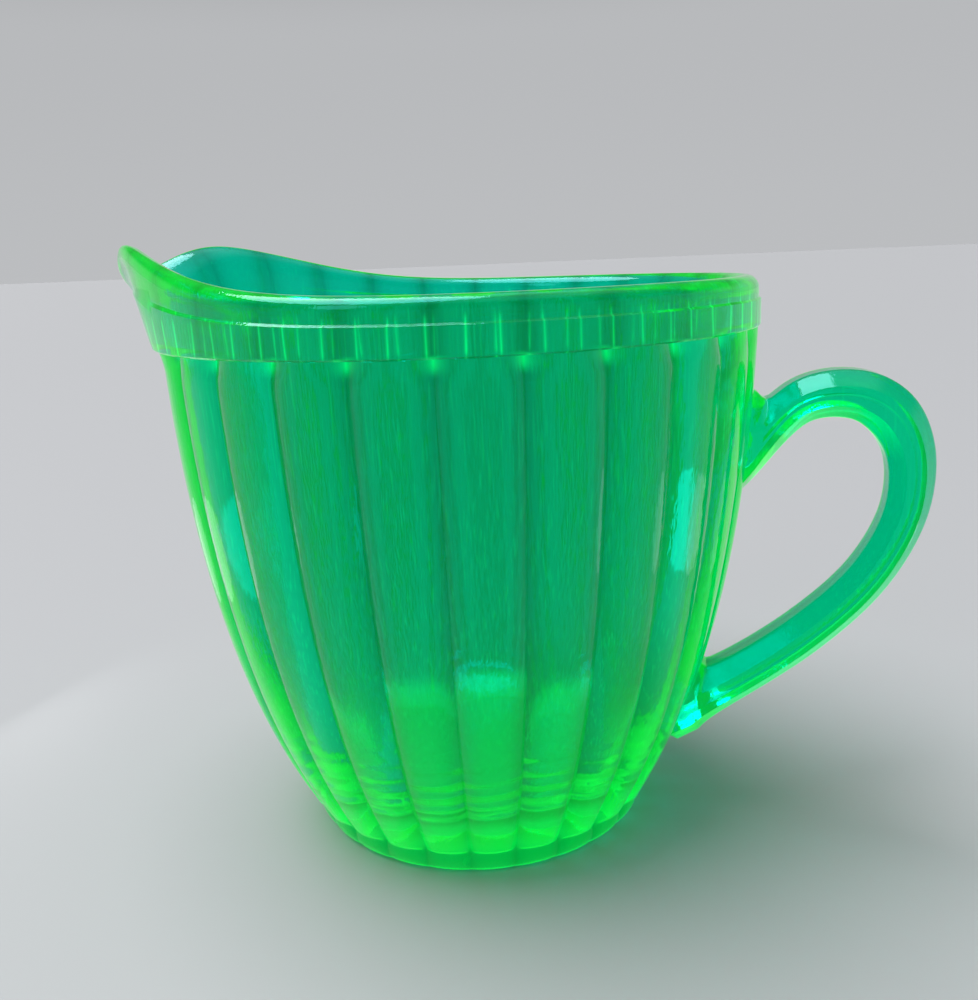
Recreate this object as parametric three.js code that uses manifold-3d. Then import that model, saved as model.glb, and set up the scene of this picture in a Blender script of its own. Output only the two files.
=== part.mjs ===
// A pressed-glass pouring jug of about two cups: a round bowl with convex pillars all round, a plain band
// under a rounded rim, a pulled spout opposite an open ear-shaped handle.
// Millimetres, +Z up. The origin is the centre of the flat base.
// The handle points along +X and the spout along -X.
import * as THREE from "three";
import { mergeVertices } from "three/addons/utils/BufferGeometryUtils.js";
import Module from "manifold-3d";

// Driving dimensions of the bowl.
const PILLARS = 26;
const SAMPLES_PER_PILLAR = 4;
const FOOT_FLAT_RADIUS = 29.6; // flat underside that stands on the table
const FOOT_HEIGHT = 4.8; // rounded heel below the pillars
const FOOT_TOP_RADIUS = 33;
const BASE_RADIUS = 31.2; // where the pillars' curve would meet the table
const CREST_LOW_PULL = { x: 34.7, z: 8.6 }; // steers the pillars' curve above the foot
const CREST_HIGH_PULL = { x: 50.8, z: 28.3 }; // steers it below the band
const CREST_SHARES = [0.19, 0.29, 0.39, 0.5, 0.62, 0.74, 0.86, 0.94, 1]; // where its rings stand
const BAND_BOTTOM = 91.2;
const BAND_RADIUS = 53;
const BAND_LIP = 0.4; // the band stands proud of the pillars
const RIM_HEIGHT = 99.6; // above the table, away from the spout
const RIM_OUTER_ROUND = 2.2;
const RIM_INNER_ROUND = 2.6;
const RIM_INNER_RADIUS = 48.2;
const INSIDE_TOP_RADIUS = 47.9; // inside of the wall, level with the foot of the band
const INSIDE_HIGH_PULL = { x: 46.6, z: 36 };
const INSIDE_LOW_PULL_RADIUS = 34;
const INSIDE_SHARES = [0, 0.14, 0.3, 0.46, 0.62, 0.78, 0.9, 1];
const FLOOR_HEIGHT = 8; // thickness of the bottom
const FLOOR_RADIUS = 20;
const GROOVE_DEPTH = 1.45; // of the narrow grooves between pillars
const GROOVE_FLARE = 0.7; // extra depth where a groove meets the band
const FLARE_HEIGHT = 4; // how far below the band the grooves deepen
const GROOVE_SHARPNESS = 1.5; // above 1, the pillars are broad and the grooves narrow
const HEEL_GROOVE = 0.25; // share of the grooves' depth that runs on over the heel
const GROOVE_WARP = 0.45; // draws the samples towards the grooves, which are narrow

// Driving dimensions of the spout. Spreads are in radians round the bowl from the spout's middle.
const LEAN_START = 88; // height at which the band begins to lean out
const SHOULDER_REACH = 8.9; // the pulled part of the rim, beyond the band
const SHOULDER_SPREAD = 0.55;
const LEAN_CURVE = 1.3; // above 1, the band flares out more towards its rim
const LIP_REACH = 4; // the narrow pouring lip, beyond the shoulders
const LIP_SPREAD = 0.2;
const LIP_DROP = 7; // the lip lies lower than the two ears beside it
const EAR_RISE = 11; // of the ears above the rim
const EAR_SPREAD = 0.81;
const EAR_SHOULDER = 2.25; // above 2, the ears are flatter on top than a bell curve

// Driving dimensions of the handle: its centre line in the XZ plane, with its depth in that plane.
const HANDLE_LINE = [
  { x: 48.5, z: 64.2, depth: 5.5 },
  { x: 60.2, z: 77.5, depth: 7.6 },
  { x: 69.4, z: 78.6, depth: 8.5 },
  { x: 75.1, z: 75.4, depth: 9.0 },
  { x: 78.7, z: 68.6, depth: 8.1 },
  { x: 78.6, z: 58.0, depth: 7.4 },
  { x: 73.2, z: 46.2, depth: 7.3 },
  { x: 62.6, z: 34.9, depth: 7.7 },
  { x: 47.3, z: 23.9, depth: 8.3 },
  { x: 36.7, z: 18.6, depth: 9.5 },
];
const HANDLE_WIDTH_TOP = 10.5;
const HANDLE_WIDTH_ROOT = 12.5;
const HANDLE_NARROWEST = 0.45; // how far along the handle it is as narrow as its top
const HANDLE_STEPS = 36;
const HANDLE_SIDES = 8;
const JOINT_GAP = 0.3; // between the bowl and the handle's roots
const CUTTER_START = 0.12; // how far up the pillars' curve the roots' cutter begins
const CUTTER_RINGS = 12;

const wasm = await Module();
wasm.setup();

const glass = () =>
  new THREE.MeshStandardMaterial({ color: 0x0bd36a, roughness: 0.06, metalness: 0 });

const smooth = (low, high, value) => THREE.MathUtils.smoothstep(value, low, high);

// Crest radius of the pillars against height: steep at the foot, nearly upright at the band.
const CREST = new THREE.CubicBezierCurve(
  new THREE.Vector2(BASE_RADIUS, 0),
  new THREE.Vector2(CREST_LOW_PULL.x, CREST_LOW_PULL.z),
  new THREE.Vector2(CREST_HIGH_PULL.x, CREST_HIGH_PULL.z),
  new THREE.Vector2(BAND_RADIUS - BAND_LIP, BAND_BOTTOM),
);

// The bowl's wall as one closed half-section, from the axis under the base round to the axis above the floor.
// Each point also says how deep the grooves cut there.
function bowlSection() {
  const section = [{ r: 0, z: 0, groove: 0 }, { r: FOOT_FLAT_RADIUS, z: 0, groove: 0 }];
  for (const turn of [0.35, 0.7]) {
    const angle = (turn * Math.PI) / 2;
    section.push({
      r: FOOT_FLAT_RADIUS + (FOOT_TOP_RADIUS - FOOT_FLAT_RADIUS) * Math.sin(angle),
      z: FOOT_HEIGHT * (1 - Math.cos(angle)),
      groove: HEEL_GROOVE,
    });
  }
  for (const t of CREST_SHARES) {
    const crest = CREST.getPoint(t);
    section.push({ r: crest.x, z: crest.y, groove: 1 });
  }
  section.push({ r: BAND_RADIUS, z: BAND_BOTTOM + BAND_LIP, groove: 0 });
  section.push({ r: BAND_RADIUS, z: RIM_HEIGHT - RIM_OUTER_ROUND, groove: 0 });
  for (const turn of [0.5, 1]) {
    const angle = (turn * Math.PI) / 2;
    section.push({
      r: BAND_RADIUS - RIM_OUTER_ROUND * (1 - Math.cos(angle)),
      z: RIM_HEIGHT - RIM_OUTER_ROUND * (1 - Math.sin(angle)),
      groove: 0,
    });
  }
  for (const turn of [0.5, 1]) {
    const angle = (turn * Math.PI) / 2;
    section.push({
      r: RIM_INNER_RADIUS + RIM_INNER_ROUND * (1 - Math.sin(angle)),
      z: RIM_HEIGHT - RIM_INNER_ROUND * (1 - Math.cos(angle)),
      groove: 0,
    });
  }
  const inside = new THREE.CubicBezierCurve(
    new THREE.Vector2(INSIDE_TOP_RADIUS, BAND_BOTTOM),
    new THREE.Vector2(INSIDE_HIGH_PULL.x, INSIDE_HIGH_PULL.z),
    new THREE.Vector2(INSIDE_LOW_PULL_RADIUS, FLOOR_HEIGHT),
    new THREE.Vector2(FLOOR_RADIUS, FLOOR_HEIGHT),
  );
  for (const t of INSIDE_SHARES) {
    const point = inside.getPoint(t);
    section.push({ r: point.x, z: point.y, groove: 0 });
  }
  section.push({ r: 0, z: FLOOR_HEIGHT, groove: 0 });
  return section;
}

// Shapes a plain turned point into the real bowl: grooves between pillars, then the pulled spout.
// angle is measured from the handle, so pi is the middle of the spout.
function shapePoint(point, angle) {
  const pillar = (1 - Math.cos(PILLARS * angle)) / 2; // 0 in a groove, 1 on a crest
  const depth = GROOVE_DEPTH + GROOVE_FLARE * smooth(BAND_BOTTOM - FLARE_HEIGHT, BAND_BOTTOM, point.z);
  let r = point.r - point.groove * depth * (1 - pillar) ** GROOVE_SHARPNESS;
  let z = point.z;
  const fromSpout = Math.abs(Math.abs(angle) - Math.PI);
  const bell = (spread, power = 2) => Math.exp(-((fromSpout / spread) ** power));
  const above = Math.max(0, (point.z - LEAN_START) / (RIM_HEIGHT - LEAN_START));
  const lean = above ** LEAN_CURVE;
  r += lean * (SHOULDER_REACH * bell(SHOULDER_SPREAD) + LIP_REACH * bell(LIP_SPREAD));
  const rise = EAR_RISE * bell(EAR_SPREAD, EAR_SHOULDER) - LIP_DROP * bell(LIP_SPREAD);
  z += rise * smooth(BAND_BOTTOM, RIM_HEIGHT, point.z);
  return { r, z };
}

function bowlGeometry() {
  const section = bowlSection();
  const segments = PILLARS * SAMPLES_PER_PILLAR;
  const geometry = new THREE.LatheGeometry(
    section.map((point) => new THREE.Vector2(point.r, point.z)),
    segments,
  );
  const position = geometry.getAttribute("position");
  for (let i = 0; i < position.count; i++) {
    const point = section[i % section.length];
    const even = (2 * Math.PI * Math.floor(i / section.length)) / segments;
    const angle = even - (GROOVE_WARP / PILLARS) * Math.sin(PILLARS * even);
    const turned = angle > Math.PI ? angle - 2 * Math.PI : angle;
    const { r, z } = shapePoint(point, turned);
    position.setXYZ(i, r * Math.cos(turned), r * Math.sin(turned), z);
  }
  return geometry;
}

// The handle is a bar of eight sides, wider than deep at its roots, bent along its centre line.
function handleGeometry() {
  const line = new THREE.CatmullRomCurve3(
    HANDLE_LINE.map((knot) => new THREE.Vector3(knot.x, 0, knot.z)),
    false,
    "centripetal",
  );
  const halfSide = Math.PI / HANDLE_SIDES; // turns the bar so that a flat side faces out
  const geometry = new THREE.CylinderGeometry(1, 1, 1, HANDLE_SIDES, HANDLE_STEPS, false, halfSide);
  const position = geometry.getAttribute("position");
  const corner = Math.cos(halfSide);
  for (let i = 0; i < position.count; i++) {
    const along = 0.5 - position.getY(i);
    const knot = Math.min(Math.floor(along * (HANDLE_LINE.length - 1)), HANDLE_LINE.length - 2);
    const share = along * (HANDLE_LINE.length - 1) - knot;
    const depth = THREE.MathUtils.lerp(HANDLE_LINE[knot].depth, HANDLE_LINE[knot + 1].depth, share);
    const width = THREE.MathUtils.lerp(
      HANDLE_WIDTH_TOP,
      HANDLE_WIDTH_ROOT,
      (2 * (along - HANDLE_NARROWEST)) ** 2,
    );
    const centre = line.getPoint(along);
    const tangent = line.getTangent(along);
    const outward = new THREE.Vector3(-tangent.z, 0, tangent.x);
    const across = ((position.getX(i) / corner) * width) / 2;
    const out = ((position.getZ(i) / corner) * depth) / 2;
    position.setXYZ(i, centre.x + outward.x * out, across, centre.z + outward.z * out);
  }
  return geometry;
}

function toSolid(geometry) {
  const bare = new THREE.BufferGeometry();
  bare.setAttribute("position", geometry.getAttribute("position"));
  bare.setIndex(geometry.getIndex());
  const merged = mergeVertices(bare, 1e-4);
  return new wasm.Manifold(
    new wasm.Mesh({
      numProp: 3,
      vertProperties: merged.getAttribute("position").array,
      triVerts: new Uint32Array(merged.getIndex().array),
    }),
  );
}

function toGeometry(solid) {
  const mesh = solid.getMesh();
  const geometry = new THREE.BufferGeometry();
  geometry.setAttribute("position", new THREE.BufferAttribute(mesh.vertProperties, 3));
  geometry.setIndex(new THREE.BufferAttribute(mesh.triVerts, 1));
  return geometry;
}

// The turned envelope of the bowl, a joint's gap larger all round: what the handle's roots are cut by.
function rootCutter() {
  const outline = [new THREE.Vector2(0, -1), new THREE.Vector2(FOOT_FLAT_RADIUS, -1)];
  for (let step = 1; step <= CUTTER_RINGS; step++) {
    const crest = CREST.getPoint(CUTTER_START + ((1 - CUTTER_START) * step) / CUTTER_RINGS);
    outline.push(new THREE.Vector2(crest.x + JOINT_GAP, crest.y));
  }
  outline.push(new THREE.Vector2(0, BAND_BOTTOM));
  const cutter = new THREE.LatheGeometry(outline, PILLARS * SAMPLES_PER_PILLAR);
  cutter.rotateX(Math.PI / 2);
  return toSolid(cutter);
}

const jug = new THREE.Group();
jug.name = "pouring_jug";

const body = new THREE.Mesh(bowlGeometry(), glass());
body.name = "jug_body";
jug.add(body);

const handleSolid = toSolid(handleGeometry()).subtract(rootCutter());
const handle = new THREE.Mesh(toGeometry(handleSolid), glass());
handle.name = "handle";
jug.add(handle);

export default jug;
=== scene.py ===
"""A pressed jug of uranium glass: fluted bowl, plain band, pulled spout and ear-shaped handle in one piece.

Sizes are in millimetres and turned to metres only when a shape is placed. The handle points along +X and
the spout along -X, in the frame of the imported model.
"""

import logging
import math
from dataclasses import dataclass, field
from enum import Enum

import bpy
import numpy as np
from mathutils import Matrix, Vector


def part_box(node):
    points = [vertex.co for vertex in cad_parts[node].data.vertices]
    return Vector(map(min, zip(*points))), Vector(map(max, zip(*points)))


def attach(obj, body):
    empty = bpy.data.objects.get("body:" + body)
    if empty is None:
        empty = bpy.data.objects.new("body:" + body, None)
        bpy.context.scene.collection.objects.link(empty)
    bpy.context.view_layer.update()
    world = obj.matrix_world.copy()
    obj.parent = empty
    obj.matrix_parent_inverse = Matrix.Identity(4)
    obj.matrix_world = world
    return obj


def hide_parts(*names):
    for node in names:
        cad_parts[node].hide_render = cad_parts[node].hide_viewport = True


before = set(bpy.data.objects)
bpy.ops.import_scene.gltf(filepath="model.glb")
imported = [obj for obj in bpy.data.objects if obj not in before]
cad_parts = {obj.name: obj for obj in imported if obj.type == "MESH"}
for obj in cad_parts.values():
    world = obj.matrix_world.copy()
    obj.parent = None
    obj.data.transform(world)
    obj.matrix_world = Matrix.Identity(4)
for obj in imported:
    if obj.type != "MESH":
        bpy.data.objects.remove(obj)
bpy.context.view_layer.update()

LOG = logging.getLogger("jug")
MM = 0.001


class Wall(Enum):
    """The stretches of the bowl's section, in the order in which it is drawn."""

    UNDERSIDE = 0
    HEEL = 1
    PILLARS = 2
    BAND = 3
    RIM = 4
    INSIDE = 5


def smooth(low: float, high: float, value: np.ndarray) -> np.ndarray:
    """A smooth step from 0 at low to 1 at high.

    Args:
        low: Where the step begins.
        high: Where the step ends.
        value: The values to step.

    Returns:
        The stepped values.
    """
    share = np.clip((np.asarray(value, float) - low) / (high - low), 0.0, 1.0)
    return share * share * (3.0 - 2.0 * share)


def bezier(knots: list[tuple[float, float]], shares: np.ndarray) -> np.ndarray:
    """Points on one cubic Bezier curve.

    Args:
        knots: The curve's four control points.
        shares: Where to read it, from 0 to 1.

    Returns:
        One row of coordinates for each share.
    """
    a, b, c, d = (np.array(knot) for knot in knots)
    t = np.asarray(shares, float)[:, None]
    return (1 - t) ** 3 * a + 3 * t * (1 - t) ** 2 * b + 3 * t**2 * (1 - t) * c + t**3 * d


def ringed_tube(name: str, sides: int, rings: int) -> bpy.types.Object:
    """Adds a capped tube of radius 1 whose rings stand 1 apart, ready to be shaped.

    Args:
        name: The new piece's name.
        sides: Points in each ring.
        rings: Number of rings.

    Returns:
        The new mesh object.
    """
    bpy.ops.object.select_all(action="DESELECT")
    bpy.ops.mesh.primitive_circle_add(vertices=sides, radius=1.0, fill_type="NGON")
    tube = bpy.context.object
    tube.name = tube.data.name = name
    bpy.ops.object.mode_set(mode="EDIT")
    bpy.ops.mesh.select_all(action="SELECT")
    for _ in range(rings - 1):
        bpy.ops.mesh.extrude_region_move(TRANSFORM_OT_translate={"value": (0.0, 0.0, 1.0)})
    bpy.ops.mesh.select_all(action="SELECT")
    bpy.ops.mesh.normals_make_consistent(inside=False)
    bpy.ops.object.mode_set(mode="OBJECT")
    return tube


def read_points(piece: bpy.types.Object) -> np.ndarray:
    """The piece's points, one row each."""
    points = np.empty(len(piece.data.vertices) * 3)
    piece.data.vertices.foreach_get("co", points)
    return points.reshape(-1, 3)


def write_points(piece: bpy.types.Object, points: np.ndarray) -> None:
    """Moves the piece's points to new places, given in millimetres."""
    piece.data.vertices.foreach_set("co", (points * MM).ravel())
    piece.data.update()


def apply_boolean(piece: bpy.types.Object, tool: bpy.types.Object, operation: str) -> None:
    """Joins a tool to a piece, or cuts it away, and removes the tool.

    Args:
        piece: The piece that is changed.
        tool: The other solid.
        operation: Blender's name for what is done, UNION or DIFFERENCE.
    """
    bpy.ops.object.select_all(action="DESELECT")
    bpy.context.view_layer.objects.active = piece
    piece.select_set(True)
    step = piece.modifiers.new("solid_step", "BOOLEAN")
    step.operation = operation
    step.solver = "EXACT"
    step.object = tool
    bpy.ops.object.modifier_apply(modifier=step.name)
    bpy.data.objects.remove(tool)


@dataclass
class Bowl:
    """The bowl with its pillars, band, rim, foot and pulled spout."""

    band_radius: float
    pillars: int = 26
    samples: int = 16
    foot_flat: float = 29.6
    heel_height: float = 4.8
    heel_radius: float = 33.0
    base_radius: float = 31.2
    crest_low_pull: tuple[float, float] = (34.7, 8.6)
    crest_high_pull: tuple[float, float] = (50.8, 28.3)
    band_bottom: float = 91.2
    band_lip: float = 0.4
    bead_step: float = 0.4
    rim_height: float = 99.6
    rim_outer_round: float = 2.2
    rim_inner_round: float = 2.6
    inner_radius: float = 48.2
    inside_high_pull: tuple[float, float] = (46.6, 36.0)
    inside_low_pull: float = 34.0
    floor_height: float = 8.0
    floor_radius: float = 20.0
    groove_depth: float = 1.45
    groove_flare: float = 0.7
    flare_height: float = 4.0
    pillar_power: float = 2.9
    ledge_power_loss: float = 1.2
    groove_warp: float = 0.45
    lean_start: float = 88.0
    lean_curve: float = 1.3
    shoulder_reach: float = 8.9
    shoulder_spread: float = 0.55
    lip_reach: float = 4.0
    lip_spread: float = 0.2
    lip_drop: float = 7.0
    ear_rise: float = 11.0
    ear_spread: float = 0.81
    ear_shoulder: float = 2.25
    wave_height: float = 0.2
    wave_pitch: float = 3.1
    wave_middle: float = 17.0
    wave_spread: float = 11.0
    wave_fade: tuple[float, float] = (18.0, 24.0)
    section: list[tuple[float, float, float, Wall]] = field(default_factory=list)

    def crest(self, shares: np.ndarray) -> np.ndarray:
        """Radius and height of the pillars' crests.

        Args:
            shares: How far along the pillar, 0 at the foot and 1 at the band.

        Returns:
            One row of radius and height for each share.
        """
        knots = [
            (self.base_radius, 0.0),
            self.crest_low_pull,
            self.crest_high_pull,
            (self.band_radius - self.band_lip, self.band_bottom),
        ]
        return bezier(knots, shares)

    def draw_section(self) -> None:
        """Draws the half-section, from under the base round over the rim to the middle of the floor."""
        add = self.section.append
        for radius in (1.0, 8.0, 16.0, 23.0, 27.5):
            add((radius, 0.0, 0.0, Wall.UNDERSIDE))
        for turn in np.linspace(0.0, math.pi / 2, 11):
            radius = self.foot_flat + (self.heel_radius - self.foot_flat) * math.sin(turn)
            add((radius, self.heel_height * (1 - math.cos(turn)), 0.3 * turn, Wall.HEEL))
        shares = np.concatenate([np.linspace(0.165, 0.9, 44), np.linspace(0.91, 1.0, 12)])
        for radius, height in self.crest(shares):
            add((radius, height, 1.0, Wall.PILLARS))
        add((self.band_radius - 0.25, self.band_bottom + 0.1, 0.0, Wall.BAND))
        for height in (0.35, 1.2, 2.4, 3.6, 4.5):
            add((self.band_radius, self.band_bottom + height, 0.0, Wall.BAND))
        add((self.band_radius - self.bead_step, self.band_bottom + 4.8, 0.0, Wall.BAND))
        for turn in np.linspace(0.0, math.pi / 2, 9):
            drop = self.rim_outer_round
            radius = self.band_radius - self.bead_step - drop * (1 - math.cos(turn))
            add((radius, self.rim_height - drop * (1 - math.sin(turn)), 0.0, Wall.RIM))
        for turn in np.linspace(math.pi / 16, math.pi / 2, 8):
            drop = self.rim_inner_round
            radius = self.inner_radius + drop * (1 - math.sin(turn))
            add((radius, self.rim_height - drop * (1 - math.cos(turn)), 0.0, Wall.RIM))
        knots = [
            (self.inner_radius - 0.05, self.rim_height - self.rim_inner_round - 0.8),
            self.inside_high_pull,
            (self.inside_low_pull, self.floor_height),
            (self.floor_radius, self.floor_height),
        ]
        for radius, height in bezier(knots, np.linspace(0.0, 1.0, 70)):
            add((radius, height, 0.0, Wall.INSIDE))
        for radius in (15.0, 10.0, 5.0, 1.0):
            add((radius, self.floor_height, 0.0, Wall.INSIDE))

    def groove_cut(self, angle: np.ndarray, height: np.ndarray) -> np.ndarray:
        """How deep the pillars' convex faces lie under their crests.

        Args:
            angle: Angles round the bowl, 0 at the handle.
            height: Heights above the table.

        Returns:
            Depths, largest in the narrow grooves.
        """
        turn = (angle * self.pillars / (2 * math.pi)) % 1.0
        aside = np.abs(2.0 * turn - 1.0)
        top = smooth(self.band_bottom - self.flare_height, self.band_bottom, height)
        power = self.pillar_power - self.ledge_power_loss * top
        return (self.groove_depth + self.groove_flare * top) * aside**power

    def floor_waves(self, angle: np.ndarray, height: np.ndarray) -> np.ndarray:
        """The soft ripples that the cooling glass left on the inside of the lower wall."""
        fade = np.exp(-(((height - self.wave_middle) / self.wave_spread) ** 2))
        drift = 1.3 * np.sin(3 * angle + 0.6) + 0.8 * np.sin(7 * angle)
        return self.wave_height * fade * np.sin(2 * math.pi * height / self.wave_pitch + drift)

    def build(self) -> bpy.types.Object:
        """Models the bowl as one closed wall.

        Returns:
            The bowl's mesh object.
        """
        self.draw_section()
        sides = self.pillars * self.samples
        bowl = ringed_tube("jug_glass", sides, len(self.section))
        tube = read_points(bowl)
        ring = np.rint(tube[:, 2]).astype(int)
        even = np.arctan2(tube[:, 1], tube[:, 0])
        angle = even - (self.groove_warp / self.pillars) * np.sin(self.pillars * even)
        radius = np.array([row[0] for row in self.section])[ring]
        height = np.array([row[1] for row in self.section])[ring]
        groove = np.array([row[2] for row in self.section])[ring]
        inside = np.array([row[3] is Wall.INSIDE for row in self.section])[ring]
        radius = radius - groove * self.groove_cut(angle, height)
        radius = radius + inside * self.floor_waves(angle, height) * smooth(*self.wave_fade, radius)
        from_spout = np.abs(np.abs(angle) - math.pi)
        lip = np.exp(-((from_spout / self.lip_spread) ** 2))
        shoulder = np.exp(-((from_spout / self.shoulder_spread) ** 2))
        ear = np.exp(-((from_spout / self.ear_spread) ** self.ear_shoulder))
        lean_share = (height - self.lean_start) / (self.rim_height - self.lean_start)
        lean = np.maximum(lean_share, 0.0) ** self.lean_curve
        radius = radius + lean * (self.shoulder_reach * shoulder + self.lip_reach * lip)
        rise = self.ear_rise * ear - self.lip_drop * lip
        height = height + rise * smooth(self.band_bottom, self.rim_height, height)
        write_points(bowl, np.stack([radius * np.cos(angle), radius * np.sin(angle), height], axis=1))
        return bowl


@dataclass
class Handle:
    """The handle: a bar of eight softened sides, bent along its centre line."""

    bowl: Bowl
    line: tuple[tuple[float, float, float], ...] = (
        (48.5, 64.2, 5.5),
        (60.2, 77.5, 7.6),
        (69.4, 78.6, 8.5),
        (75.1, 75.4, 9.0),
        (78.7, 68.6, 8.1),
        (78.6, 58.0, 7.4),
        (73.2, 46.2, 7.3),
        (62.6, 34.9, 7.7),
        (47.3, 23.9, 8.3),
        (36.7, 18.6, 9.5),
    )
    width_top: float = 10.5
    width_root: float = 12.5
    facets: int = 8
    sides: int = 64
    steps: int = 150
    edge_softness: float = 110.0
    root_flare: float = 0.3
    flare_length: float = 2.4
    narrowest: float = 0.45
    upper_web: tuple[float, float] = (5.75, 1.75)  # height and spread of the web above the root
    lower_web: tuple[float, float] = (2.3, 1.0)
    seam_height: float = 0.18
    root_depth: float = 2.6

    def centre_line(self, shares: np.ndarray) -> np.ndarray:
        """Reads the centre line, a centripetal Catmull-Rom curve through its knots.

        Args:
            shares: Where to read it, from 0 at the upper root to 1 at the lower.

        Returns:
            One row of X, Z and depth for each share.
        """
        knots = np.array(self.line)
        knots = np.vstack([2 * knots[0] - knots[1], knots, 2 * knots[-1] - knots[-2]])
        spans = len(self.line) - 1
        rows = []
        for share in shares:
            first = min(int(share * spans), spans - 1)
            t = share * spans - first
            p0, p1, p2, p3 = knots[first : first + 4]
            d0, d1, d2 = (math.sqrt(math.dist(a[:2], b[:2])) for a, b in ((p0, p1), (p1, p2), (p2, p3)))
            out = d1 * ((p1 - p0) / d0 - (p2 - p0) / (d0 + d1) + (p2 - p1) / d1)
            into = d1 * ((p2 - p1) / d1 - (p3 - p1) / (d1 + d2) + (p3 - p2) / d2)
            rows.append(
                (2 * t**3 - 3 * t**2 + 1) * p1
                + (t**3 - 2 * t**2 + t) * out
                + (3 * t**2 - 2 * t**3) * p2
                + (t**3 - t**2) * into
            )
        return np.array(rows)

    def build(self) -> bpy.types.Object:
        """Models the handle with both roots reaching into the bowl's wall.

        Returns:
            The handle's mesh object.
        """
        bar = ringed_tube("handle_glass", self.sides, self.steps)
        tube = read_points(bar)
        ring = np.rint(tube[:, 2]).astype(int)
        angle = np.arctan2(tube[:, 1], tube[:, 0])
        shares = np.linspace(0.0, 1.0, self.steps)
        centre = self.centre_line(shares)
        tangent = np.gradient(centre[:, :2], axis=0)
        tangent /= np.linalg.norm(tangent, axis=1)[:, None]
        wall = self.bowl.crest(np.linspace(0.0, 1.0, 200))
        clear = centre[:, 0] - np.interp(centre[:, 1], wall[:, 1], wall[:, 0])
        flare = 1.0 + self.root_flare * np.exp(-np.maximum(clear, 0.0) / self.flare_length)
        widening = (2 * (shares - self.narrowest)) ** 2
        width = self.width_top + (self.width_root - self.width_top) * widening
        turns = [angle - k * 2 * math.pi / self.facets for k in range(self.facets)]
        norm = sum(np.maximum(np.cos(turn), 0.0) ** self.edge_softness for turn in turns)
        reach = norm ** (-1.0 / self.edge_softness)
        across = reach * np.sin(angle) * (width * flare)[ring] / 2
        column = 2 * math.pi / self.sides
        on_seam = np.abs(np.abs(angle) - (math.pi / 2 - column)) < column / 4
        across = across + on_seam * np.sign(across) * self.seam_height
        lower_half = smooth(0.4, 0.6, shares)
        deep = centre[:, 2] * (1.0 + (flare - 1.0) * lower_half)
        out = reach * np.cos(angle) * deep[ring] / 2
        x = centre[ring, 0] - tangent[ring, 1] * out
        z = centre[ring, 1] + tangent[ring, 0] * out
        gap = np.maximum(np.hypot(x, across) - np.interp(z, wall[:, 1], wall[:, 0]), 0.0)
        for (lift, spread), side, part in (
            (self.upper_web, np.cos(angle), 1.0 - lower_half),
            (self.lower_web, -np.cos(angle), lower_half),
        ):
            z = z + lift * np.exp(-((gap / spread) ** 2)) * smooth(-0.2, 0.8, side) * part[ring]
        write_points(bar, np.stack([x, across, z], axis=1))
        bpy.ops.object.mode_set(mode="EDIT")
        bpy.ops.mesh.select_all(action="SELECT")
        bpy.ops.mesh.normals_make_consistent(inside=False)
        bpy.ops.object.mode_set(mode="OBJECT")
        core = self.build_core()
        apply_boolean(bar, core, "DIFFERENCE")
        return bar

    def build_core(self) -> bpy.types.Object:
        """Models what the roots are trimmed by: the bowl's crests, drawn in to the middle of the wall."""
        crest = self.bowl.crest(np.linspace(0.0, 1.0, 60))
        core = ringed_tube("root_core", 96, len(crest))
        tube = read_points(core)
        ring = np.rint(tube[:, 2]).astype(int)
        radius = crest[ring, 0] - self.root_depth
        write_points(core, np.stack([radius * tube[:, 0], radius * tube[:, 1], crest[ring, 1]], axis=1))
        return core


Socket = bpy.types.NodeSocket
Stops = tuple[tuple[float, float], ...]


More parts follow.
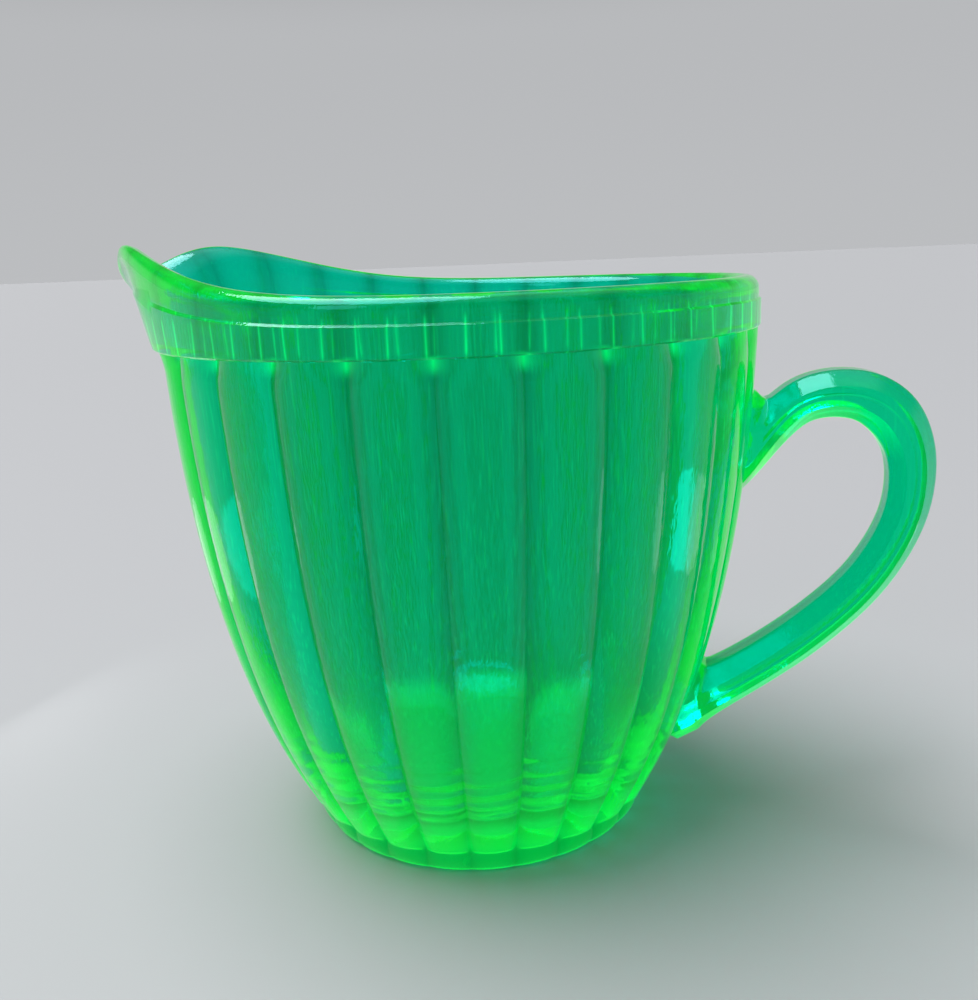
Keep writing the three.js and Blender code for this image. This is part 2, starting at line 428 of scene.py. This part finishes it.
@dataclass
class NodeBench:
    """Adds nodes to one node tree and links them."""

    tree: bpy.types.NodeTree

    def add(self, kind: str) -> bpy.types.Node:
        """Adds one node of a kind."""
        return self.tree.nodes.new(kind)

    def join(self, giver: Socket, taker: Socket) -> None:
        """Links one socket to another."""
        self.tree.links.new(giver, taker)

    def math(self, operation: str, *values: Socket | float) -> Socket:
        """Works out one sum.

        Args:
            operation: Blender's name for the sum.
            values: What it is worked out from, sockets or plain numbers.

        Returns:
            The socket that holds the result.
        """
        node = self.add("ShaderNodeMath")
        node.operation = operation
        for socket, value in zip(node.inputs, values):
            if isinstance(value, float):
                socket.default_value = value
            else:
                self.join(value, socket)
        return node.outputs["Value"]

    def step(
        self,
        value: Socket,
        reach: tuple[float, float],
        levels: tuple[float, float] = (0.0, 1.0),
        easing: str = "SMOOTHSTEP",
    ) -> Socket:
        """Steps from one level to another over a reach.

        Args:
            value: What is read.
            reach: Where the step begins and ends.
            levels: The levels before and after it.
            easing: Blender's name for the shape of the step.

        Returns:
            The socket that holds the level.
        """
        node = self.add("ShaderNodeMapRange")
        node.interpolation_type = easing
        node.inputs["From Min"].default_value, node.inputs["From Max"].default_value = reach
        node.inputs["To Min"].default_value, node.inputs["To Max"].default_value = levels
        self.join(value, node.inputs["Value"])
        return node.outputs["Result"]

    def ramp(
        self, value: Socket, stops: Stops, shade: tuple[float, float, float] = (1.0, 1.0, 1.0)
    ) -> Socket:
        """Eases through a row of levels.

        Args:
            value: What is read.
            stops: Pairs of a place and the level there, in rising order.
            shade: The colour that each level is multiplied by.

        Returns:
            The socket that holds the level.
        """
        top = stops[-1][0]
        node = self.add("ShaderNodeValToRGB")
        row = node.color_ramp
        row.interpolation = "EASE"
        row.elements.remove(row.elements[0])
        row.elements[0].position = 1.0
        row.elements[0].color = (*(stops[-1][1] * part for part in shade), 1.0)
        for at, level in stops[:-1]:
            row.elements.new(at / top).color = (*(level * part for part in shade), 1.0)
        self.join(self.math("DIVIDE", value, top), node.inputs["Fac"])
        return node.outputs["Color"]

    def noise(self, place: Socket, scale: tuple[float, float, float]) -> Socket:
        """Adds soft noise.

        Args:
            place: The coordinates it reads.
            scale: Detail for each metre along X, Y and Z.

        Returns:
            The socket that holds the noise.
        """
        mapping = self.add("ShaderNodeMapping")
        mapping.inputs["Scale"].default_value = scale
        self.join(place, mapping.inputs["Vector"])
        noise = self.add("ShaderNodeTexNoise")
        noise.inputs["Scale"].default_value = 1.0
        noise.inputs["Detail"].default_value = 1.0
        self.join(mapping.outputs["Vector"], noise.inputs["Vector"])
        return noise.outputs["Fac"]

    def parts(self, vector: Socket) -> tuple[Socket, Socket, Socket]:
        """Splits a vector into its X, Y and Z."""
        split = self.add("ShaderNodeSeparateXYZ")
        self.join(vector, split.inputs["Vector"])
        return split.outputs["X"], split.outputs["Y"], split.outputs["Z"]


@dataclass(frozen=True)
class UraniumGlass:
    """Clear green glass with painted glow, emitted from its whole thickness in place of fluorescence under
    ultraviolet light, placed in metres.
    """

    tint: tuple[float, float, float] = (0.0, 0.52, 0.5)
    # painted shade: in the valleys between the pillars the tint is darkened to this share of itself
    valley_painted_shade: float = 0.5
    valley_power: float = 3.0
    ior: float = 1.5
    roughness: float = 0.03
    # painted reflection colour: every reflection is tinted cyan, as if the lamps were blue
    reflection_painted_tint: tuple[float, float, float] = (0.08, 0.75, 0.9)
    # painted glow: the glass's surface emits green light everywhere, in place of fluorescence under
    # ultraviolet light
    skin_painted_glow: tuple[float, float, float] = (0.0, 1.0, 0.15)
    skin_painted_glow_strength: float = 0.04
    # painted glow, brighter on the foot and fading out up to foot_height
    foot_painted_glow: float = 0.2
    foot_height: float = 0.016
    # painted glow on the inner floor
    floor_painted_glow: float = 0.4
    floor_reach: tuple[float, float] = (0.036, 0.029)
    floor_heights: Stops = ((0.0045, 0.0), (0.0075, 1.0), (0.010, 1.0), (0.013, 0.0))
    pillars: int = 26
    # painted glints: short bright ticks in the band, where the grooves would show through by refraction
    ticks: int = 67
    tick_painted_glint: float = 0.8
    tick_power: float = 16.0
    tick_fade: float = 0.7
    tick_heights: Stops = ((0.0912, 0.0), (0.0922, 1.0), (0.0958, 0.8), (0.0975, 0.0))
    tick_wander: tuple[float, float, float] = (90.0, 90.0, 20.0)
    # painted highlight: thin bright marks in the grooves just under the band
    ledge_painted_highlight: float = 0.45
    ledge_power: float = 6.0
    ledge_heights: Stops = ((0.0885, 0.0), (0.0906, 1.0), (0.0913, 1.0), (0.0918, 0.0))
    # painted glow in faint upright streaks
    streak_painted_glow: float = 0.05
    streak_reach: tuple[float, float] = (0.52, 0.8)
    streak_scale: tuple[float, float, float] = (2600.0, 2600.0, 9.0)
    # painted glow on the handle's sides that face down
    handle_painted_glow: float = 0.4
    wall_radius: float = 0.053
    wall_narrowing: float = 2.4
    wall_top: float = 0.095
    clear_of_wall: tuple[float, float] = (0.0006, 0.002)
    facing_down: tuple[float, float] = (-0.15, -0.75)
    below_spout: tuple[float, float] = (0.09, 0.084)
    # painted glow: green light emitted from the glass's whole thickness
    glow: tuple[float, float, float] = (0.0, 1.0, 0.05)
    painted_glow_per_metre: float = 27.0
    absorbed: tuple[float, float, float] = (0.0, 0.88, 0.8)
    absorbed_per_metre: float = 200.0
    grain_scale: tuple[float, float, float] = (2200.0, 2200.0, 260.0)
    grain_share: float = 0.1
    sway_scale: tuple[float, float, float] = (60.0, 60.0, 22.0)
    relief_strength: float = 0.35
    relief_height: float = 0.0006

    def make(self) -> bpy.types.Material:
        """Makes the glass material.

        Returns:
            The material.
        """
        material = bpy.data.materials.new("uranium_glass")
        material.use_nodes = True
        bench = NodeBench(material.node_tree)
        shader = material.node_tree.nodes["Principled BSDF"]
        shader.inputs["Transmission Weight"].default_value = 1.0
        shader.inputs["IOR"].default_value = self.ior
        shader.inputs["Roughness"].default_value = self.roughness
        # painted reflection colour: reflections come out cyan
        shader.inputs["Specular Tint"].default_value = (*self.reflection_painted_tint, 1.0)
        # painted glow, emitted by the surface itself
        shader.inputs["Emission Color"].default_value = (*self.skin_painted_glow, 1.0)
        place = bench.add("ShaderNodeTexCoord")
        bench.join(self.tint_with_painted_valley_shade(bench, place), shader.inputs["Base Color"])
        bench.join(self.painted_skin_glow_by_place(bench, place), shader.inputs["Emission Strength"])
        bench.join(self.relief(bench, place), shader.inputs["Normal"])
        self.fill(bench, material.node_tree.nodes["Material Output"])
        return material

    def off_crest(
        self, bench: NodeBench, place: bpy.types.Node, count: int, shift: Socket | float
    ) -> Socket:
        """Adds how far round from the middle of its pillar or tick a place is.

        Args:
            bench: What the nodes are added with.
            place: The texture coordinate node.
            count: How many pillars or ticks there are in a turn.
            shift: What the turns are moved on by.

        Returns:
            The socket that holds it, 0 on a crest and 1 halfway to the next one.
        """
        x, y, _ = bench.parts(place.outputs["Object"])
        turns = bench.math("MULTIPLY", bench.math("ARCTAN2", y, x), count / (2 * math.pi))
        turn = bench.math("FRACT", bench.math("ADD", turns, shift))
        return bench.math("ABSOLUTE", bench.math("MULTIPLY_ADD", turn, 2.0, -1.0))

    def tint_with_painted_valley_shade(self, bench: NodeBench, place: bpy.types.Node) -> Socket:
        """Adds the glass's tint with painted shade: darker in the valleys between the pillars.

        Args:
            bench: What the nodes are added with.
            place: The texture coordinate node.

        Returns:
            The socket that holds the colour.
        """
        # painted shade, deepest in the valleys between the pillars
        valley = bench.math("POWER", self.off_crest(bench, place, self.pillars, 0.0), self.valley_power)
        mix = bench.add("ShaderNodeMix")
        mix.data_type = "RGBA"
        share, crest, painted_shade_tint = mix.inputs[0], mix.inputs[6], mix.inputs[7]
        crest.default_value = (*self.tint, 1.0)
        painted_shade_tint.default_value = (*(self.valley_painted_shade * part for part in self.tint), 1.0)
        bench.join(valley, share)
        return mix.outputs[2]

    def painted_skin_glow_by_place(self, bench: NodeBench, place: bpy.types.Node) -> Socket:
        """Adds how strongly the skin's painted glow and painted highlights shine on the foot, floor, ledge,
        band and handle.

        Args:
            bench: What the nodes are added with.
            place: The texture coordinate node.

        Returns:
            The socket that holds the strength.
        """
        x, y, z = bench.parts(place.outputs["Object"])
        squares = bench.math("ADD", bench.math("MULTIPLY", x, x), bench.math("MULTIPLY", y, y))
        radius = bench.math("SQRT", squares)
        # painted glow, brighter at the foot
        foot_levels = (self.foot_painted_glow, self.skin_painted_glow_strength)
        total = bench.step(z, (0.0, self.foot_height), foot_levels, "SMOOTHERSTEP")
        # painted glow on the inner floor
        on_floor = bench.step(radius, self.floor_reach)
        floor = bench.math("MULTIPLY", on_floor, bench.ramp(z, self.floor_heights))
        # painted highlight in the grooves just under the band
        valley = self.off_crest(bench, place, self.pillars, 0.0)
        ledge = bench.math("POWER", valley, self.ledge_power)
        ledge = bench.math("MULTIPLY", ledge, bench.ramp(z, self.ledge_heights))
        # painted glints in the band
        wander = bench.noise(place.outputs["Object"], self.tick_wander)
        ticks = bench.math("POWER", self.off_crest(bench, place, self.ticks, wander), self.tick_power)
        ticks = bench.math("MULTIPLY", ticks, bench.ramp(z, self.tick_heights))
        ticks = bench.math("MULTIPLY", ticks, bench.math("POWER", wander, self.tick_fade))
        # painted glow in faint upright streaks
        streaks = bench.step(bench.noise(place.outputs["Object"], self.streak_scale), self.streak_reach)
        # each painted glow or painted highlight is added to the skin's glow strength
        for level, strength in (
            (floor, self.floor_painted_glow),
            (self.handle_underside_glow_mask(bench, place, radius, z), self.handle_painted_glow),
            (ticks, self.tick_painted_glint),
            (ledge, self.ledge_painted_highlight),
            (streaks, self.streak_painted_glow),
        ):
            total = bench.math("MULTIPLY_ADD", level, strength, total)
        return total

    def handle_underside_glow_mask(self, bench: NodeBench, place: bpy.types.Node, radius: Socket, z: Socket) -> Socket:
        """Adds the mask of painted glow: 1 on those sides of the handle that face down, and 0 elsewhere.

        Args:
            bench: What the nodes are added with.
            place: The texture coordinate node.
            radius: Distance from the bowl's axis.
            z: Height.

        Returns:
            The socket that holds the level.
        """
        below_top = bench.math("SUBTRACT", self.wall_top, z)
        narrowing = bench.math("MULTIPLY", bench.math("MULTIPLY", below_top, below_top), self.wall_narrowing)
        clear = tuple(self.wall_radius + gap for gap in self.clear_of_wall)
        beyond = bench.step(bench.math("ADD", radius, narrowing), clear, easing="LINEAR")
        down = bench.step(bench.parts(place.outputs["Normal"])[2], self.facing_down)
        low = bench.step(z, self.below_spout, easing="LINEAR")
        return bench.math("MULTIPLY", bench.math("MULTIPLY", beyond, down), low)

    def relief(self, bench: NodeBench, place: bpy.types.Node) -> Socket:
        """Adds the fine upright grain and the slow sway of fire-polished glass.

        Args:
            bench: What the nodes are added with.
            place: The texture coordinate node.

        Returns:
            The socket that holds the surface's normal.
        """
        height = bench.math(
            "MULTIPLY_ADD",
            bench.noise(place.outputs["Object"], self.grain_scale),
            self.grain_share,
            bench.noise(place.outputs["Object"], self.sway_scale),
        )
        bump = bench.add("ShaderNodeBump")
        bump.inputs["Strength"].default_value = self.relief_strength
        bump.inputs["Distance"].default_value = self.relief_height
        bench.join(height, bump.inputs["Height"])
        return bump.outputs["Normal"]

    def fill(self, bench: NodeBench, output: bpy.types.Node) -> None:
        """Fills the glass with painted glow, which it emits itself, and with what it swallows.

        Args:
            bench: What the nodes are added with.
            output: The material's output node.
        """
        # painted glow, emitted from inside the glass
        glow = bench.add("ShaderNodeEmission")
        glow.inputs["Color"].default_value = (*self.glow, 1.0)
        glow.inputs["Strength"].default_value = self.painted_glow_per_metre
        swallow = bench.add("ShaderNodeVolumeAbsorption")
        swallow.inputs["Color"].default_value = (*self.absorbed, 1.0)
        swallow.inputs["Density"].default_value = self.absorbed_per_metre
        both = bench.add("ShaderNodeAddShader")
        bench.join(glow.outputs["Emission"], both.inputs[0])
        bench.join(swallow.outputs["Volume"], both.inputs[1])
        bench.join(both.outputs["Shader"], output.inputs["Volume"])


@dataclass
class Jug:
    """The whole jug as one piece of glass: the bowl with the handle melted on."""

    bowl: Bowl
    handle: Handle
    glass: UraniumGlass
    smooth_angle: float = 35.0
    weld: float = 0.03

    def build(self) -> bpy.types.Object:
        """Joins the bowl and the handle and dresses the glass.

        Returns:
            The finished piece.
        """
        piece = self.bowl.build()
        apply_boolean(piece, self.handle.build(), "UNION")
        bpy.ops.object.mode_set(mode="EDIT")
        bpy.ops.mesh.select_mode(type="VERT")
        bpy.ops.mesh.select_all(action="SELECT")
        bpy.ops.mesh.remove_doubles(threshold=self.weld * MM)
        bpy.ops.mesh.select_all(action="SELECT")
        bpy.ops.mesh.dissolve_degenerate(threshold=self.weld * MM)
        bpy.ops.object.mode_set(mode="OBJECT")
        bpy.ops.object.shade_smooth_by_angle(angle=math.radians(self.smooth_angle))
        piece.data.materials.clear()
        piece.data.materials.append(self.glass.make())
        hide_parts("jug_body", "handle")
        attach(piece, "root")
        return piece


@dataclass
class Studio:
    """The pale floor, the soft lights and the camera."""

    floor_half: float = 30.0
    camera_place: tuple[float, float, float] = (35.65, -178.48, 103.64)
    camera_turn: float = 10.3
    camera_pitch: float = 13.71
    camera_roll: float = -2.43
    lens: float = 35.28
    shift_x: float = 0.0039
    overhead_angle: float = 50.0
    overhead_strength: float = 4.5
    overhead_lean: float = -20.0
    surround: Stops = ((0.0, 0.5), (0.2, 0.48), (0.42, 0.1), (0.7, 0.15), (0.92, 1.1))
    surround_shade: tuple[float, float, float] = (1.0, 1.02, 1.05)
    aim: tuple[float, float, float] = (0.0, 0.0, 0.05)
    floor_colour: tuple[float, float, float] = (0.3, 0.304, 0.315)
    floor_roughness: float = 0.6

    def build_floor(self) -> bpy.types.Object:
        """Lays the pale floor."""
        bpy.ops.object.select_all(action="DESELECT")
        bpy.ops.mesh.primitive_plane_add(size=2 * self.floor_half)
        floor = bpy.context.object
        floor.name = "studio_floor"
        material = bpy.data.materials.new("pale_floor")
        material.use_nodes = True
        shader = material.node_tree.nodes["Principled BSDF"]
        shader.inputs["Base Color"].default_value = (*self.floor_colour, 1.0)
        shader.inputs["Roughness"].default_value = self.floor_roughness
        floor.data.materials.append(material)
        return floor

    def add_softbox(
        self, name: str, place: tuple[float, float, float], size: tuple[float, float], power: float
    ) -> None:
        """Adds one soft light that faces the jug.

        Args:
            name: The light's name.
            place: Its place in metres.
            size: Its width and height in metres.
            power: Its power in watts.
        """
        light = bpy.data.lights.new(name, "AREA")
        light.shape = "ELLIPSE"
        light.size, light.size_y = size
        light.energy = power
        lamp = bpy.data.objects.new(name, light)
        bpy.context.scene.collection.objects.link(lamp)
        lamp.visible_camera = False
        away = np.array(place) - np.array(self.aim)
        turn = math.atan2(away[1], away[0]) + math.pi / 2
        tilt = math.atan2(math.hypot(away[0], away[1]), away[2])
        lamp.matrix_world = (
            Matrix.Translation(place) @ Matrix.Rotation(turn, 4, "Z") @ Matrix.Rotation(tilt, 4, "X")
        )

    def build_light(self) -> None:
        """Sets the pale surroundings and the softboxes."""
        world = bpy.data.worlds.new("studio")
        bpy.context.scene.world = world
        world.use_nodes = True
        bench = NodeBench(world.node_tree)
        height = bench.parts(bench.add("ShaderNodeTexCoord").outputs["Generated"])[2]
        background = world.node_tree.nodes["Background"]
        bench.join(bench.ramp(height, self.surround, self.surround_shade), background.inputs["Color"])
        self.add_softbox("softbox_left", (-0.125, 0.02, 0.022), (0.08, 0.035), 0.005)
        self.add_softbox("softbox_right", (0.13, 0.01, 0.022), (0.05, 0.035), 0.004)
        self.add_softbox("softbox_front", (-0.5, -0.7, 0.7), (0.3, 0.5), 1.2)
        sky = bpy.data.lights.new("overhead", "SUN")
        sky.angle = math.radians(self.overhead_angle)
        sky.energy = self.overhead_strength
        lamp = bpy.data.objects.new("overhead", sky)
        lamp.matrix_world = Matrix.Rotation(math.radians(self.overhead_lean), 4, "Y")
        bpy.context.scene.collection.objects.link(lamp)

    def build_camera(self) -> bpy.types.Object:
        """Places the camera."""
        data = bpy.data.cameras.new("view")
        data.lens = self.lens
        data.shift_x = self.shift_x
        data.clip_start = 0.005
        camera = bpy.data.objects.new("view", data)
        bpy.context.scene.collection.objects.link(camera)
        camera.matrix_world = (
            Matrix.Translation([MM * value for value in self.camera_place])
            @ Matrix.Rotation(math.radians(self.camera_turn), 4, "Z")
            @ Matrix.Rotation(math.radians(90.0 - self.camera_pitch), 4, "X")
            @ Matrix.Rotation(math.radians(self.camera_roll), 4, "Z")
        )
        bpy.context.scene.camera = camera
        bpy.context.scene.view_settings.view_transform = "Standard"
        return camera


def main() -> None:
    """Builds the studio and the jug."""
    logging.basicConfig(level=logging.INFO, format="%(name)s: %(message)s")
    studio = Studio()
    studio.build_camera()
    studio.build_floor()
    studio.build_light()
    body_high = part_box("jug_body")[1]
    bowl = Bowl(band_radius=body_high[1] / MM)
    jug = Jug(bowl, Handle(bowl), UraniumGlass())
    piece = jug.build()
    LOG.info("%s has %d faces", piece.name, len(piece.data.polygons))


if __name__ == "__main__":
    main()
